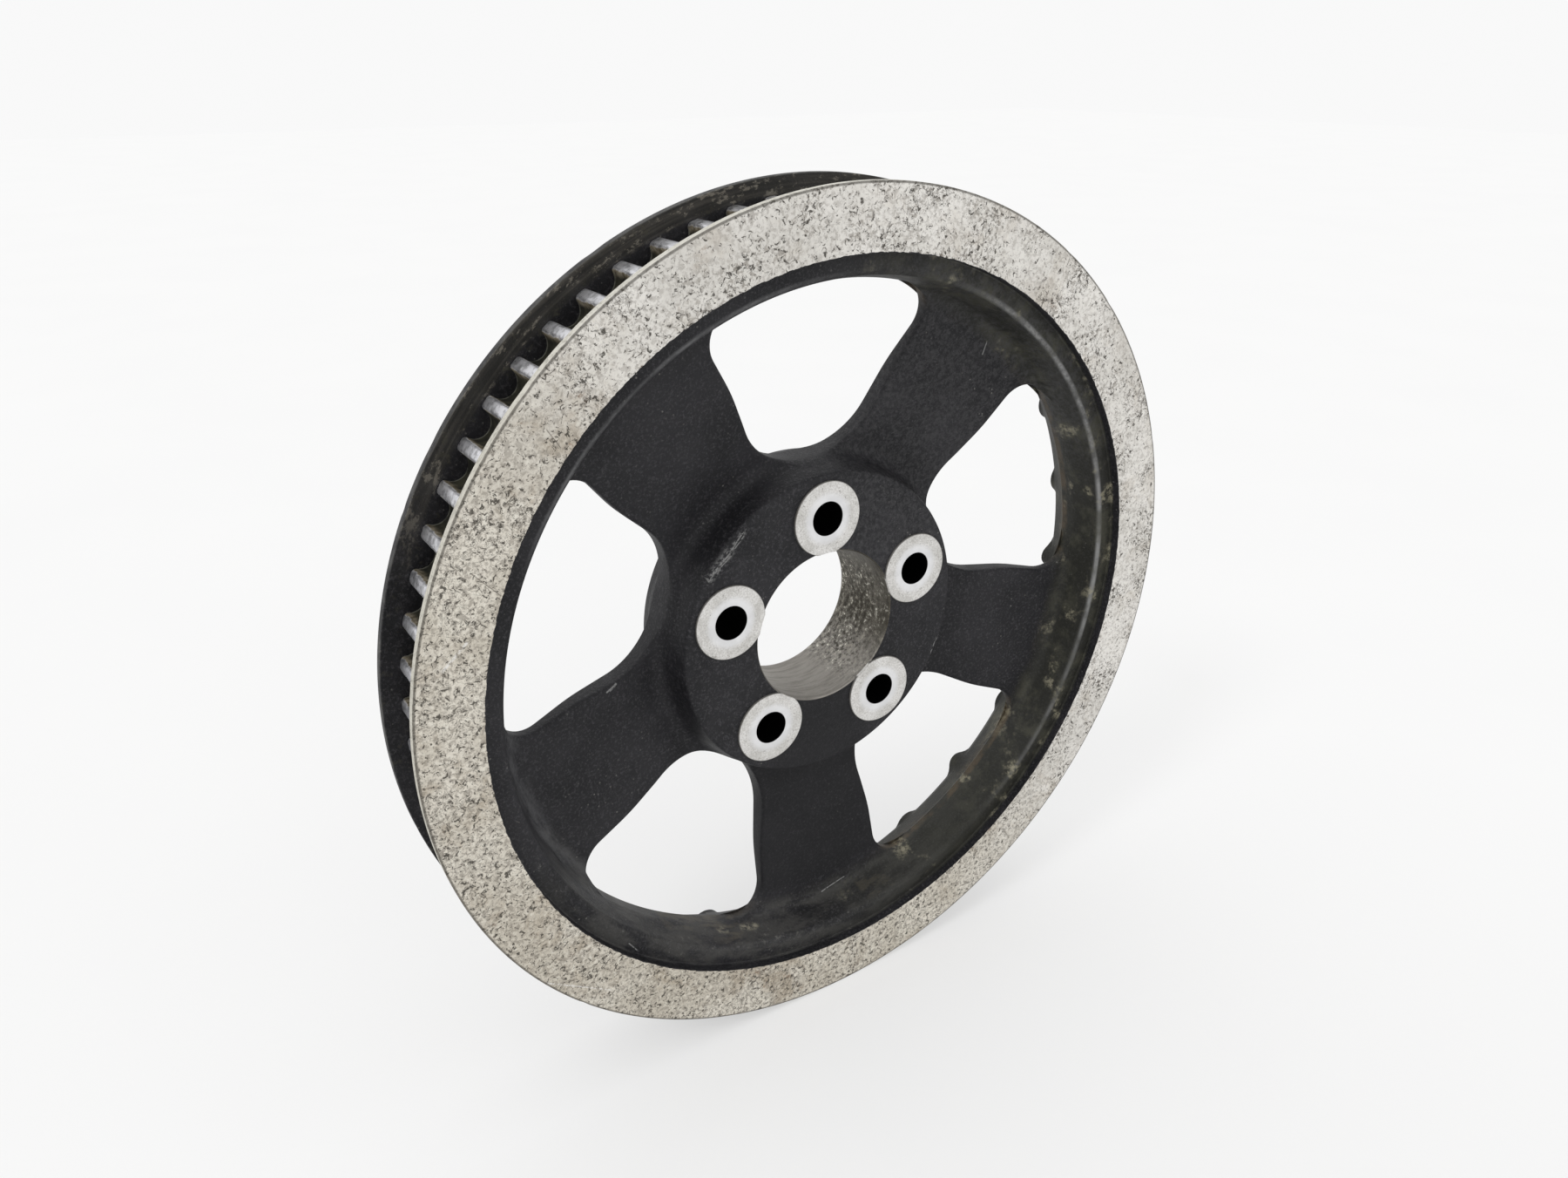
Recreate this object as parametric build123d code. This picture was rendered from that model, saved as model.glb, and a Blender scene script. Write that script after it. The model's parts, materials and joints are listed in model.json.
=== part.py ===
from build123d import *
import math
import os

# Rear final-drive belt pulley of a motorcycle.
# The pulley turns about the Y axis. Its front face looks along -Y, and the hub's rear
# mounting face lies in the plane y = 0, so every depth below is counted from the front
# face of the front flange. The pulley stands on its rim, with +Z up.

# Belt and teeth (round-gap teeth, 14 mm pitch)
tooth_count = 66
tooth_pitch = 14.0
belt_line_height = 1.397  # from a tooth's tip up to the cords of the belt
gap_depth = 6.1
gap_round = 4.65  # radius of the bottom of a gap
tip_round = 1.3  # radius of a tooth's two corners
tooth_face_width = 28.6
tooth_turn = -0.87  # from a bolt hole to the nearest tooth, degrees

# Flanges
flange_radius = 151.3
flange_thickness = 3.0
flange_edge_break = 0.3
front_flange_inner_radius = 130.6

# Rim of the casting
ring_seat_radius = 134.0
rim_ledge_depth = 4.0
rim_ledge_inner_radius = 124.0
rim_rear_radius = 131.2
rim_rear_bend_radius = 127.2
rim_rear_bend_depth = 30.8
boss_count = 24
large_boss_step = 3  # every third boss is a large one
large_boss_round = 4.2
large_boss_reach = 125.2  # distance of the boss's inner side from the axis
small_boss_round = 6.0
small_boss_reach = 128.1
boss_start_depth = 23.0
boss_end_depth = 34.4
boss_turn = -4.65  # from the top bolt hole to the nearest large boss, degrees

# Web that the spokes are cut from: a dished cone, thicker towards the hub
web_outer_radius = 120.9
web_front_outer_depth = 16.4
web_rear_outer_depth = 20.7
web_front_inner_depth = 28.2
web_rear_inner_depth = 37.0

# Windows between the spokes
spoke_count = 5
window_inner_radius = 59.9
window_outer_radius = 120.6
window_bend_offset = 33.0  # the side's bend, sideways from the window's middle plane
window_bend_height = 88.5  # the same bend, outwards from the axis
window_inner_slope = 0.455  # sideways run for each mm outwards, on the hub side of the bend
window_outer_slope = 0.65  # the same, on the rim side
window_bend_round = 70.0
window_inner_round = 24.0
window_outer_round = 8.5
window_edge_round = 1.4

# Hub
hub_radius = 57.0
hub_foot_radius = 59.6
hub_front_depth = 16.4
hub_rear_depth = 47.0
bore_radius = 28.575
bore_chamfer = 0.4

# Bolt seats
top_hole_angle = 90.65  # the top bolt hole stands this far round from +X, degrees
bolt_circle_radius = 82.55 / 2
bolt_hole_radius = 5.95
seat_radius = 13.5
seat_proud = 0.7
seat_head_thickness = 3.0
seat_sleeve_radius = 9.0

# Room given to cutters and stock that later cuts take away
cut_overrun = 1.0
bore_stock = 3.0

tip_radius = tooth_count * tooth_pitch / (2 * math.pi) - belt_line_height
toothed_ring_rear_depth = flange_thickness + tooth_face_width
rim_depth = toothed_ring_rear_depth + flange_thickness
seat_front_depth = hub_front_depth - seat_proud


def y_at(depth):
    """Y coordinate of a depth behind the front face."""
    return depth - hub_rear_depth


def polar(radius, degrees):
    """Point on a circle about the origin, in the sketch plane."""
    angle = math.radians(degrees)
    return Vector(radius * math.cos(angle), radius * math.sin(angle))


def plane_at(depth):
    """Plane across the pulley's axis: sketch x is +X and sketch y is +Z, facing -Y."""
    return Plane(origin=(0, y_at(depth), 0), x_dir=(1, 0, 0), z_dir=(0, -1, 0))


def prism(face, front_depth, rear_depth):
    """Solid of a flat outline between two depths."""
    return extrude(plane_at(rear_depth) * face, rear_depth - front_depth)


def revolved(section):
    """Solid turned about Y from (radius, depth, corner radius) points."""
    points = [(radius, y_at(depth)) for radius, depth, _ in section]
    rounds = [corner for _, _, corner in section]
    outline = FilletPolyline(*points, radius=rounds, close=True)
    return revolve(make_face(outline), Axis.Y, 360)


def bore_cutter():
    """Bore with its two small chamfers, run past both ends of the hub."""
    mouth_radius = bore_radius + bore_chamfer + cut_overrun
    section = [
        (0, hub_front_depth - cut_overrun),
        (mouth_radius, hub_front_depth - cut_overrun),
        (bore_radius, hub_front_depth + bore_chamfer),
        (bore_radius, hub_rear_depth - bore_chamfer),
        (mouth_radius, hub_rear_depth + cut_overrun),
        (0, hub_rear_depth + cut_overrun),
    ]
    points = [(radius, y_at(depth)) for radius, depth in section]
    return revolve(make_face(Polyline(*points, close=True)), Axis.Y, 360)


def casting_blank():
    """Hub, dished web and rim in one turned shape, before any window is cut."""
    return revolved(
        [
            (bore_radius - bore_stock, hub_front_depth, 0),
            (hub_radius, hub_front_depth, 1.6),
            (hub_foot_radius, web_front_inner_depth, 5.0),
            (web_outer_radius, web_front_outer_depth, 5.0),
            (rim_ledge_inner_radius, rim_ledge_depth, 2.0),
            (front_flange_inner_radius, rim_ledge_depth, 0.6),
            (front_flange_inner_radius, flange_thickness, 0),
            (ring_seat_radius, flange_thickness, 0),
            (ring_seat_radius, rim_depth, 0),
            (rim_rear_radius, rim_depth, 1.2),
            (rim_rear_bend_radius, rim_rear_bend_depth, 2.0),
            (web_outer_radius, web_rear_outer_depth, 3.0),
            (hub_foot_radius, web_rear_inner_depth, 4.0),
            (hub_radius, hub_rear_depth, 1.6),
            (bore_radius - bore_stock, hub_rear_depth, 0),
        ]
    )


def side_crossing(slope, circle_radius):
    """Where a straight run through the side's bend meets a circle about the axis."""
    offset = window_bend_offset - slope * window_bend_height
    a = slope**2 + 1
    b = 2 * slope * offset
    c = offset**2 - circle_radius**2
    height = (-b + math.sqrt(b * b - 4 * a * c)) / (2 * a)
    return Vector(slope * height + offset, height)


def window_outline():
    """Window about the +Z direction: arcs at hub and rim, and sides that flare out past a bend."""
    inner_corner = side_crossing(window_inner_slope, window_inner_radius)
    outer_corner = side_crossing(window_outer_slope, window_outer_radius)
    bend = Vector(window_bend_offset, window_bend_height)
    side = FilletPolyline(inner_corner, bend, outer_corner, radius=window_bend_round)
    inner_mirror = Vector(-inner_corner.X, inner_corner.Y)
    outer_mirror = Vector(-outer_corner.X, outer_corner.Y)
    outline = Curve() + [
        side,
        mirror(side, about=Plane.YZ),
        ThreePointArc(inner_mirror, (0, window_inner_radius), inner_corner),
        ThreePointArc(outer_mirror, (0, window_outer_radius), outer_corner),
    ]
    face = make_face(outline)
    face = fillet(face.vertices().sort_by(Axis.Y)[:2], window_inner_round)
    return fillet(face.vertices().sort_by(Axis.Y)[-2:], window_outer_round)


def bolt_places():
    """Angle of each bolt hole, in degrees from +X."""
    return [top_hole_angle + index * 360 / spoke_count for index in range(spoke_count)]


def make_rim_boss(index):
    """Half-round boss on the inside of the rim, running back to near its rear face."""
    is_large = index % large_boss_step == 0
    boss_round = large_boss_round if is_large else small_boss_round
    boss_reach = large_boss_reach if is_large else small_boss_reach
    place = polar(boss_reach + boss_round, top_hole_angle + boss_turn + index * 360 / boss_count)
    outline = Circle(boss_round).moved(Location(place)) & Circle(ring_seat_radius)
    return prism(outline, boss_start_depth, boss_end_depth)


def make_hub_and_spokes():
    """Black casting: hub, five spokes and rim, with its bore and the pockets for the seats."""
    casting = casting_blank()
    window = prism(window_outline(), 0, hub_rear_depth + cut_overrun)
    for angle in bolt_places():
        casting -= window.rotate(Axis.Y, 90 - angle)
    turned_or_straight = (GeomType.CIRCLE, GeomType.LINE)
    window_edges = [edge for edge in casting.edges() if edge.geom_type not in turned_or_straight]
    casting = fillet(window_edges, window_edge_round)
    for index in range(boss_count):
        casting += make_rim_boss(index)
    casting -= bore_cutter()
    pocket_floor_depth = seat_front_depth + seat_head_thickness
    pocket = prism(Circle(seat_radius), hub_front_depth - cut_overrun, pocket_floor_depth)
    sleeve_hole = prism(Circle(seat_sleeve_radius), hub_front_depth, hub_rear_depth + cut_overrun)
    for angle in bolt_places():
        place = polar(bolt_circle_radius, angle)
        casting -= (pocket + sleeve_hole).moved(Location((place.X, 0, place.Y)))
    return casting


def make_bolt_seat(angle):
    """Flanged bush that a hub bolt clamps: proud of the hub face, and trimmed by the bore."""
    head = prism(Circle(seat_radius), seat_front_depth, seat_front_depth + seat_head_thickness)
    sleeve = prism(Circle(seat_sleeve_radius), seat_front_depth, hub_rear_depth)
    hole_front_depth = seat_front_depth - cut_overrun
    hole = prism(Circle(bolt_hole_radius), hole_front_depth, hub_rear_depth + cut_overrun)
    place = polar(bolt_circle_radius, angle)
    seat = (head + sleeve - hole).moved(Location((place.X, 0, place.Y)))
    return seat - bore_cutter()


def tooth_gap_edges(middle):
    """Outline over one pitch, centred on a gap: half land, corner, gap bottom, corner, half land."""
    gap_centre_radius = tip_radius - gap_depth + gap_round
    corner_centre_radius = tip_radius - tip_round
    reach = gap_round + tip_round
    cosine = (gap_centre_radius**2 + corner_centre_radius**2 - reach**2) / (
        2 * gap_centre_radius * corner_centre_radius
    )
    corner_angle = math.degrees(math.acos(cosine))
    gap_centre = polar(gap_centre_radius, middle)
    edges = []
    joins = []
    for side in (-1, 1):
        corner_centre = polar(corner_centre_radius, middle + side * corner_angle)
        tip_end = polar(tip_radius, middle + side * corner_angle)
        join = gap_centre + (corner_centre - gap_centre) * (gap_round / reach)
        bulge = (tip_end - corner_centre).normalized() + (join - corner_centre).normalized()
        corner_middle = corner_centre + bulge.normalized() * tip_round
        edges.append(ThreePointArc(tip_end, corner_middle, join))
        joins.append(join)
    half_pitch = 180 / tooth_count
    land_start = polar(tip_radius, middle + corner_angle)
    land_middle = polar(tip_radius, middle + half_pitch)
    land_end = polar(tip_radius, middle + 2 * half_pitch - corner_angle)
    edges.append(ThreePointArc(joins[0], polar(tip_radius - gap_depth, middle), joins[1]))
    edges.append(ThreePointArc(land_start, land_middle, land_end))
    return edges


def make_toothed_ring():
    """Ring of belt teeth that sits on the rim between the two flanges."""
    step = 360 / tooth_count
    first_gap = top_hole_angle + tooth_turn + step / 2
    edges = []
    for index in range(tooth_count):
        edges += tooth_gap_edges(first_gap + index * step)
    outline = make_face(Wire(edges))
    return prism(outline - Circle(ring_seat_radius), flange_thickness, toothed_ring_rear_depth)


def make_flange(inner_radius, front_depth):
    """Flat ring with both outer edges broken."""
    face = Circle(flange_radius) - Circle(inner_radius)
    flange = prism(face, front_depth, front_depth + flange_thickness)
    circles = flange.edges().filter_by(GeomType.CIRCLE)
    return chamfer(circles.filter_by(lambda edge: edge.radius > inner_radius), flange_edge_break)


parts = {
    "hub_and_spokes": make_hub_and_spokes(),
    "toothed_ring": make_toothed_ring(),
    "front_flange": make_flange(front_flange_inner_radius, 0),
    "rear_flange": make_flange(ring_seat_radius, toothed_ring_rear_depth),
}
for number, hole_angle in enumerate(bolt_places(), start=1):
    parts[f"bolt_seat_{number}"] = make_bolt_seat(hole_angle)

os.makedirs("parts", exist_ok=True)
for name, solid in parts.items():
    solid.label = name
    export_step(solid, f"parts/{name}.step")
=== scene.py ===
import json
import math

import bmesh
import bpy
from mathutils import Matrix, Vector, noise


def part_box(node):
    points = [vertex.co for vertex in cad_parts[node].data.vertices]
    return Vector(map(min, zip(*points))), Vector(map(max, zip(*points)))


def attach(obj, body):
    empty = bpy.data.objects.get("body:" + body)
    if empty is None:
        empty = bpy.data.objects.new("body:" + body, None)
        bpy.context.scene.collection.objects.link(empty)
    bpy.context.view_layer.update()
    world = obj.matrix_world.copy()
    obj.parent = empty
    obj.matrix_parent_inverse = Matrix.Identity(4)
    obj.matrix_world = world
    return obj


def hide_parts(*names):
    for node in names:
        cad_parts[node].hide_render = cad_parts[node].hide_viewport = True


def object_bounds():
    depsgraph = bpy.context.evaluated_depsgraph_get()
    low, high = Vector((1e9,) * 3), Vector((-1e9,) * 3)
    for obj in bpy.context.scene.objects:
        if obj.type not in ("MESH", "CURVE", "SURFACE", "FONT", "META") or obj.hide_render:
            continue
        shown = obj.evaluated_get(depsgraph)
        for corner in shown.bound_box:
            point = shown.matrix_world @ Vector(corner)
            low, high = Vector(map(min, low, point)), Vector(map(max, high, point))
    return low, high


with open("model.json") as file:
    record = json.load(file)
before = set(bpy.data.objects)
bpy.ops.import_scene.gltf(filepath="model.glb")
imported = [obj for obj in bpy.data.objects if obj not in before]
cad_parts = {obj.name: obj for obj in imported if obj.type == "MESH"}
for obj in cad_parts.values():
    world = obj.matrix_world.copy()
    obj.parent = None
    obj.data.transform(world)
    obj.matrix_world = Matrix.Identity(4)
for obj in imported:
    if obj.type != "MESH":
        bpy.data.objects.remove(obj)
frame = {"record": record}
cad_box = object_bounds()

# The pulley turns about Y. Depths are counted from the front face of the front flange.
MM = 0.001
FRONT_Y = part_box("front_flange")[0][1]
FLOOR_Z = cad_box[0][2]
MOUNTS = {mount["name"]: mount for mount in frame["record"]["mounts"]}

# Radii and depths are in mm and angles in degrees, as in the CAD source
RIM_RADIUS = min(-cad_box[0][0], cad_box[1][0], -cad_box[0][2], cad_box[1][2]) / MM
BELT_FRONT = (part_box("toothed_ring")[0][1] - FRONT_Y) / MM
BELT_REAR = (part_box("toothed_ring")[1][1] - FRONT_Y) / MM
BORE_RADIUS = MOUNTS["bore"]["dims"]["r_mm"]
HOLE_RADIUS = MOUNTS["hub_bolts"]["dims"]["hole_r_mm"]
BOLT_CIRCLE_RADIUS = MOUNTS["hub_bolts"]["dims"]["pcd_mm"] / 2
TOP_HOLE_ANGLE = 90.65
SPOKES = 5
SPOKE_TURN = 360 / SPOKES
HUB_FRONT = 16.4
HUB_REAR = 47.0
BORE_CHAMFER = 0.4
FLANGE_INNER_RADIUS = 130.6
FLANGE_THICKNESS = 3.0
TOOTH_SEAT_RADIUS = 134.0


# ---------------------------------------------------------------- shader helpers


class Shader:
    """A material, and short calls that add nodes to it. Its x, z, radius and depth are in mm."""

    def __init__(self, name):
        self.material = bpy.data.materials.new(name)
        self.material.use_nodes = True
        self.tree = self.material.node_tree
        self.surface = self.tree.nodes["Principled BSDF"]
        coordinates = self.tree.nodes.new("ShaderNodeTexCoord")
        self.place = coordinates.outputs["Object"]
        split = self.tree.nodes.new("ShaderNodeSeparateXYZ")
        self.tree.links.new(self.place, split.inputs[0])
        self.x, y, self.z = [self.math("DIVIDE", output, MM) for output in split.outputs]
        self.radius = self.math("SQRT", self.math("ADD", self.square(self.x), self.square(self.z)))
        self.depth = self.math("SUBTRACT", y, FRONT_Y / MM)
        self.color = None

    def put(self, socket, value):
        """Link a node output to a socket, or set the socket's own value."""
        if isinstance(value, bpy.types.NodeSocket):
            self.tree.links.new(value, socket)
        elif isinstance(value, tuple) and len(value) == 3 and len(socket.default_value) == 4:
            socket.default_value = (*value, 1.0)
        else:
            socket.default_value = value

    def math(self, operation, first, second=0.0, clamp=False):
        """Result of one arithmetic node."""
        node = self.tree.nodes.new("ShaderNodeMath")
        node.operation = operation
        node.use_clamp = clamp
        self.put(node.inputs[0], first)
        self.put(node.inputs[1], second)
        return node.outputs[0]

    def square(self, value):
        return self.math("MULTIPLY", value, value)

    def times(self, *values):
        """Product of some masks."""
        product = values[0]
        for value in values[1:]:
            product = self.math("MULTIPLY", product, value)
        return product

    def most(self, *values):
        """Largest of some masks."""
        largest = values[0]
        for value in values[1:]:
            largest = self.math("MAXIMUM", largest, value)
        return largest

    def without(self, mask):
        """One where a mask is nought, and nought where it is one."""
        return self.math("SUBTRACT", 1.0, mask)

    def step(self, value, start, end, low=0.0, high=1.0):
        """Smooth step from low to high as a value goes from start to end."""
        node = self.tree.nodes.new("ShaderNodeMapRange")
        node.interpolation_type = "SMOOTHSTEP"
        self.put(node.inputs["Value"], value)
        for socket, setting in zip(node.inputs[1:5], (start, end, low, high)):
            self.put(socket, setting)
        return node.outputs[0]

    def band(self, value, start, end, soft):
        """One between two values, falling to nought over a soft edge each side."""
        rise = self.step(value, start - soft, start + soft)
        fall = self.step(value, end - soft, end + soft, 1.0, 0.0)
        return self.math("MULTIPLY", rise, fall)

    def toward(self, degrees, reach, soft):
        """One within some degrees of a direction about the axis, with a soft edge beyond."""
        angle = math.radians(degrees)
        along = self.math("MULTIPLY", self.x, math.cos(angle))
        up = self.math("MULTIPLY", self.z, math.sin(angle))
        cosine = self.math("DIVIDE", self.math("ADD", along, up), self.radius)
        return self.step(cosine, math.cos(math.radians(reach + soft)), math.cos(math.radians(reach)))

    def stroke(self, start, end, width):
        """Thin straight mark between two (x, z) points in mm, fading across its width."""
        run = Vector(end) - Vector(start)
        from_x = self.math("SUBTRACT", self.x, start[0])
        from_z = self.math("SUBTRACT", self.z, start[1])
        along_x = self.math("MULTIPLY", from_x, run.x)
        along_z = self.math("MULTIPLY", from_z, run.y)
        share = self.math("DIVIDE", self.math("ADD", along_x, along_z), run.length_squared, clamp=True)
        off_x = self.math("SUBTRACT", from_x, self.math("MULTIPLY", share, run.x))
        off_z = self.math("SUBTRACT", from_z, self.math("MULTIPLY", share, run.y))
        away = self.math("SQRT", self.math("ADD", self.square(off_x), self.square(off_z)))
        return self.step(away, width * 0.5, width * 0.15)

    def turned(self, around_scale):
        """Radius and depth in metres, with a slow run around the axis, for lathe marks."""
        node = self.tree.nodes.new("ShaderNodeCombineXYZ")
        self.tree.links.new(self.math("MULTIPLY", self.radius, MM), node.inputs[0])
        self.tree.links.new(self.math("MULTIPLY", self.depth, MM), node.inputs[1])
        angle = self.math("ARCTAN2", self.z, self.x)
        self.tree.links.new(self.math("MULTIPLY", angle, around_scale), node.inputs[2])
        return node.outputs[0]

    def noise(self, per_metre, detail=2.0, roughness=0.5, at=None, distortion=0.0):
        """Cloudy values from 0 to 1, mostly near 0.5."""
        node = self.tree.nodes.new("ShaderNodeTexNoise")
        self.put(node.inputs["Vector"], at or self.place)
        node.inputs["Scale"].default_value = per_metre
        node.inputs["Detail"].default_value = detail
        node.inputs["Roughness"].default_value = roughness
        node.inputs["Distortion"].default_value = distortion
        return node.outputs[0]

    def specks(self, per_metre, share, size):
        """Round dots on some share of scattered points; size is a share of their spacing."""
        node = self.tree.nodes.new("ShaderNodeTexVoronoi")
        self.put(node.inputs["Vector"], self.place)
        node.inputs["Scale"].default_value = per_metre
        split = self.tree.nodes.new("ShaderNodeSeparateColor")
        self.tree.links.new(node.outputs["Color"], split.inputs[0])
        chosen = self.step(split.outputs[0], 1.0 - share, 1.02 - share)
        dot = self.step(node.outputs["Distance"], size * 0.6, size, 1.0, 0.0)
        return self.math("MULTIPLY", chosen, dot)

    def mix(self, share, first, second):
        """Colour between two colours."""
        node = self.tree.nodes.new("ShaderNodeMix")
        node.data_type = "RGBA"
        self.put(node.inputs["Factor"], share)
        self.put(node.inputs[6], first)
        self.put(node.inputs[7], second)
        return node.outputs[2]

    def tint(self, tone, *masks):
        """Mix a tone into the material's colour where all the masks are strong."""
        self.color = self.mix(self.times(*masks), self.color, tone)

    def blend(self, share, first, second):
        """Number between two numbers."""
        node = self.tree.nodes.new("ShaderNodeMix")
        self.put(node.inputs[0], share)
        self.put(node.inputs[2], first)
        self.put(node.inputs[3], second)
        return node.outputs[0]

    def bump(self, height, distance, strength):
        """Surface normal tilted by a height mask."""
        node = self.tree.nodes.new("ShaderNodeBump")
        node.inputs["Strength"].default_value = strength
        node.inputs["Distance"].default_value = distance
        self.put(node.inputs["Height"], height)
        return node.outputs[0]

    def finish(self, roughness, metallic, normal):
        """Give the material its main inputs, and return it."""
        self.put(self.surface.inputs["Base Color"], self.color)
        self.put(self.surface.inputs["Roughness"], roughness)
        self.put(self.surface.inputs["Metallic"], metallic)
        self.put(self.surface.inputs["Normal"], normal)
        return self.material


# ---------------------------------------------------------------- materials

PAINT_DARK = (0.0058, 0.0058, 0.0072)
PAINT_LIGHT = (0.0165, 0.0160, 0.0185)


def paint_layers(m):
    """Colour the material as fine-grained charcoal powder coat; returns its roughness and normal."""
    grain = m.noise(1000.0, 4.0, 0.75)
    tone = m.noise(30.0, 5.0, 0.6)
    m.color = m.mix(m.step(tone, 0.35, 0.68), PAINT_DARK, PAINT_LIGHT)
    m.tint((0.055, 0.053, 0.058), m.step(grain, 0.48, 0.70, 0.0, 0.7))
    dusty = m.step(m.noise(24.0, 4.0, 0.65), 0.48, 0.68)
    fine_specks = m.specks(760.0, 0.10, 0.30)
    flecks = m.step(m.noise(900.0, 4.0, 0.7, distortion=0.6), 0.66, 0.72)
    m.tint((0.20, 0.195, 0.18), fine_specks, m.blend(dusty, 0.10, 0.7))
    m.tint((0.15, 0.147, 0.142), flecks, m.blend(dusty, 0.25, 1.0), 0.7)
    roughness = m.blend(m.noise(160.0, 3.0), 0.50, 0.68)
    normal = m.bump(grain, 0.00030, 0.75)
    m.surface.inputs["Specular IOR Level"].default_value = 0.27
    return roughness, normal


def from_bolts(m):
    """Distance in mm to the axis of the nearest bolt hole, or the rim's radius far from them all."""
    nearest = RIM_RADIUS
    for index in range(SPOKES):
        angle = math.radians(TOP_HOLE_ANGLE + SPOKE_TURN * index)
        across = m.square(m.math("SUBTRACT", m.x, BOLT_CIRCLE_RADIUS * math.cos(angle)))
        up = m.square(m.math("SUBTRACT", m.z, BOLT_CIRCLE_RADIUS * math.sin(angle)))
        nearest = m.math("MINIMUM", m.math("SQRT", m.math("ADD", across, up)), nearest)
    return nearest


def painted_ledge_highlight(m):
    """Mask of a painted highlight along the rim ledge's rounded edge, strongest at the upper right and broken
    up in streaks.
    """
    streaks = m.noise(700.0, 3.0, 0.6, at=m.turned(0.02))
    ledge = m.band(m.radius, 123.9, 125.3, 0.6)
    ledge = m.times(ledge, m.step(m.depth, 7.5, 5.5))
    upper_left = m.times(m.toward(122, 14, 22), 0.18)
    lower_right = m.times(m.toward(-20, 12, 25), 0.35)
    arcs = m.most(m.toward(24, 32, 16), upper_left, lower_right)
    uneven = m.blend(m.step(m.noise(75.0, 4.0, 0.6), 0.36, 0.58), 0.4, 1.0)
    return m.times(ledge, arcs, uneven, m.step(streaks, 0.30, 0.62, 0.65, 1.0))


def low_wall_sheen_and_marks(m, break_up, patch):
    """Broad painted highlight low on the wall at the left, streaked around the axis, with chalky dust and
    smudges along the bottom.
    """
    # Painted highlight: the hollow of the wall low at the left is lightened in streaks.
    hollow = m.band(m.radius, 116.5, 122.3, 1.6)
    low_left = m.times(hollow, m.toward(-156, 16, 20))
    low_wall_sheen = m.times(low_left, m.step(m.noise(190.0, 5.0, 0.7, at=m.turned(0.03)), 0.36, 0.62))
    m.tint((0.088, 0.088, 0.091), low_wall_sheen, 0.7)

    veil = m.times(m.step(m.radius, 114.0, 119.0), m.toward(-106, 34, 24))
    veil = m.times(veil, m.step(m.noise(150.0, 5.0, 0.7, at=m.turned(0.05)), 0.38, 0.62))
    m.tint((0.072, 0.070, 0.064), veil, 0.5)

    outer = m.step(m.radius, 119.5, 124.5)
    chalk = m.times(outer, m.toward(-125, 50, 25), m.step(break_up, 0.58, 0.68), m.step(patch, 0.46, 0.6))
    m.tint((0.20, 0.195, 0.18), chalk, 0.5)

    smudge = m.most(
        m.stroke((-68.5, -97.8), (-42.8, -113.2), 9.0),
        m.stroke((16.8, -120.7), (26.9, -119.9), 5.0),
        m.stroke((27.0, -87.0), (30.0, -80.0), 5.0),
    )
    smudge = m.times(smudge, m.step(m.noise(230.0, 5.0, 0.7, at=m.turned(0.05)), 0.44, 0.60))
    m.tint((0.100, 0.088, 0.066), smudge, 0.45)

    dabs = m.most(
        m.stroke((-38.5, -115.6), (-34.5, -117.0), 6.0),
        m.stroke((-49.0, -111.0), (-47.0, -112.0), 4.0),
    )
    dabs = m.times(dabs, m.band(m.depth, 11.0, 13.5, 1.2), m.step(break_up, 0.42, 0.58))
    m.tint((0.27, 0.25, 0.19), dabs, 0.7)


def wall_dust(m, break_up, patch):
    """Olive dust on the rim's inner wall, heaviest on the right, and a brown crease behind the windows."""
    wall = m.step(m.radius, 113.0, 121.0)
    olive = m.times(wall, m.step(m.x, -30.0, 60.0))
    m.tint((0.0185, 0.0185, 0.0120), olive, 0.6)
    film = m.times(wall, m.toward(15, 55, 30), m.step(m.noise(85.0, 5.0, 0.65), 0.44, 0.64))
    m.tint((0.075, 0.073, 0.052), film, 0.45)
    blotch = m.times(olive, m.step(patch, 0.55, 0.66), m.step(break_up, 0.40, 0.62))
    blotch = m.times(blotch, m.step(m.depth, 27.0, 20.0, 0.15, 1.0))
    m.tint((0.265, 0.245, 0.175), blotch, 0.8)

    crease = m.times(wall, m.step(m.depth, 17.8, 19.2), m.step(m.depth, 27.0, 20.5))
    brown = m.times(crease, m.step(m.noise(110.0, 4.0), 0.42, 0.60))
    brown = m.times(brown, m.step(m.x, -20.0, 40.0, 0.3, 1.0), 0.45)
    m.tint((0.105, 0.074, 0.042), brown)


def spoke_shade_and_sheen(m):
    """Painted shade darkens the spoke towards the floor; the upper right spoke gets a painted highlight,
    broken up like a film of dust.
    """
    # Painted shade on the spoke towards the floor.
    dark = m.times(m.toward(-92, 17, 12), m.step(m.radius, 116.0, 110.0))
    m.tint((0.0035, 0.0035, 0.0045), dark, 0.6)
    # Painted highlight, partly a dusty film, on the upper right spoke.
    upper_spoke_sheen_and_dust = m.times(m.toward(52, 18, 24), m.step(m.noise(520.0, 5.0, 0.75), 0.42, 0.64))
    m.tint((0.050, 0.049, 0.051), upper_spoke_sheen_and_dust, 0.55)


# Chalky scratches on the front of the casting: start and end in mm (x, z), and width
SCRATCHES = [
    ((-47.2, 29.2), (-41.5, 35.6), 0.7),
    ((-46.0, 31.4), (-39.0, 37.2), 0.9),
    ((-44.4, 31.9), (-38.6, 36.2), 0.6),
    ((-38.3, 38.4), (-34.2, 43.2), 0.8),
    ((-37.0, 38.6), (-33.6, 42.2), 0.5),
    ((-82.2, -4.6), (-78.4, -3.2), 0.9),
    ((-81.0, -4.7), (-78.9, -3.8), 0.5),
    ((49.8, -25.7), (52.4, -19.2), 0.6),
    ((52.5, -20.8), (55.6, -15.2), 0.8),
    ((0.5, -119.4), (12.0, -117.5), 0.5),
    ((-89.6, -91.6), (-86.8, -96.0), 0.6),
    ((68.0, 88.0), (69.0, 92.5), 0.6),
]


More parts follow.
